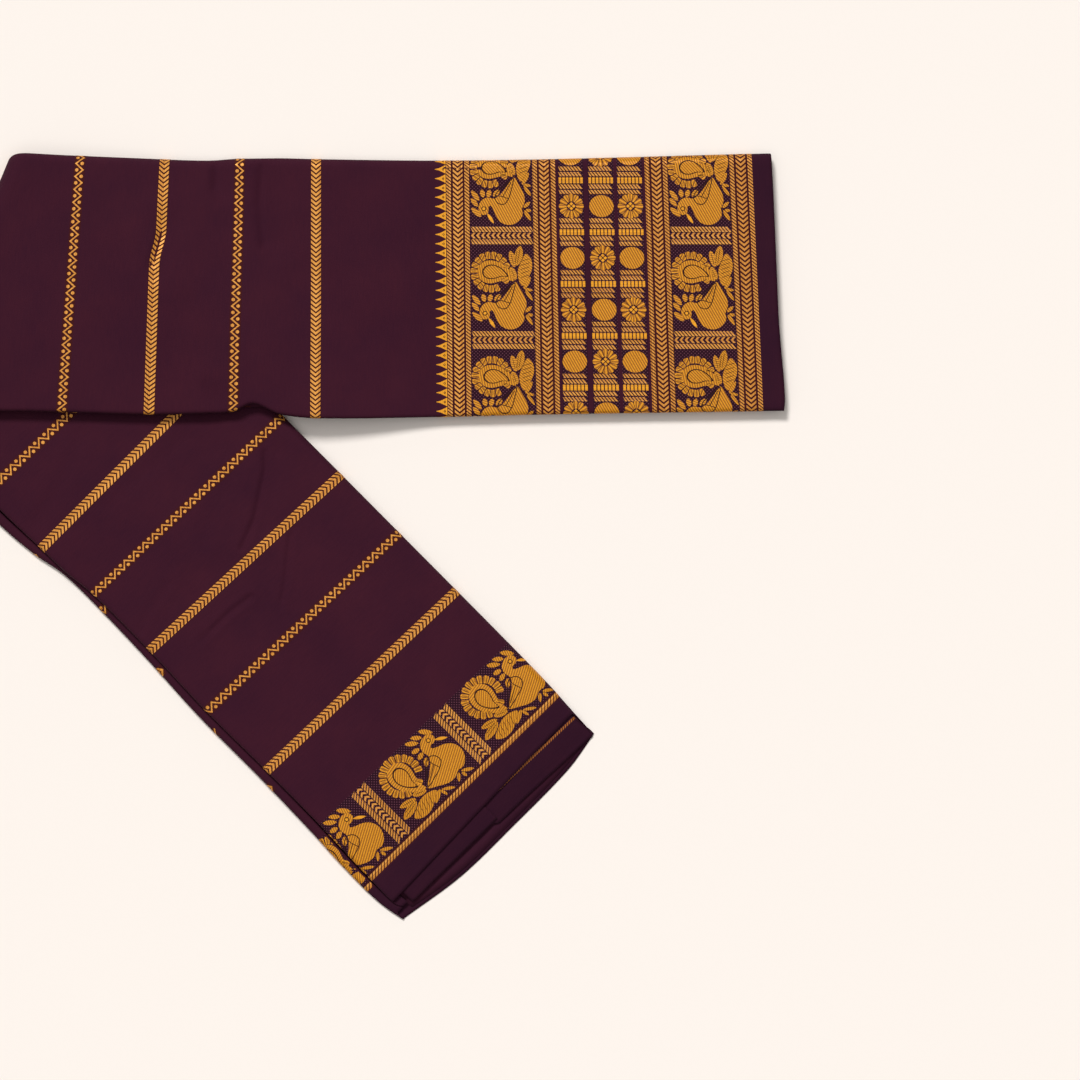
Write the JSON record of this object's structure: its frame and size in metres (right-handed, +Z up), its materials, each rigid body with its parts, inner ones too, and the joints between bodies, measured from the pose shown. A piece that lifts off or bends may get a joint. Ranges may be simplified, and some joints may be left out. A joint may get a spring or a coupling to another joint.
{
  "type": "folded cotton saree",
  "caption": "Long woven cotton drape with metallic-thread stripes and borders, folded to a narrow strip and once more on the diagonal, lying flat on a surface.",
  "frame": {"origin": "centre of the bounding box on the floor that the saree lies on", "axes": "+X along the top leg towards its selvedge end, +Y across the top leg away from the lower leg, +Z up"},
  "size_m": [0.632, 0.5554, 0.0251],
  "materials": {
    "body_cloth": "dull plain-woven cotton in dark maroon",
    "inner_cloth": "the same dull cotton, in the layers inside the fold",
    "zari": "satin metallic thread in old gold"
  },
  "bodies": {
    "root": {"top_leg_outer_fold": "body_cloth", "top_leg_inner_layers": "inner_cloth", "lower_leg_outer_fold": "body_cloth", "lower_leg_inner_layers": "inner_cloth", "lower_end_second_fold": "body_cloth", "lower_end_corner_fold": "body_cloth", "crease_outer_turn": "body_cloth", "crease_inner_turn": "inner_cloth"}
  },
  "joints": []
}
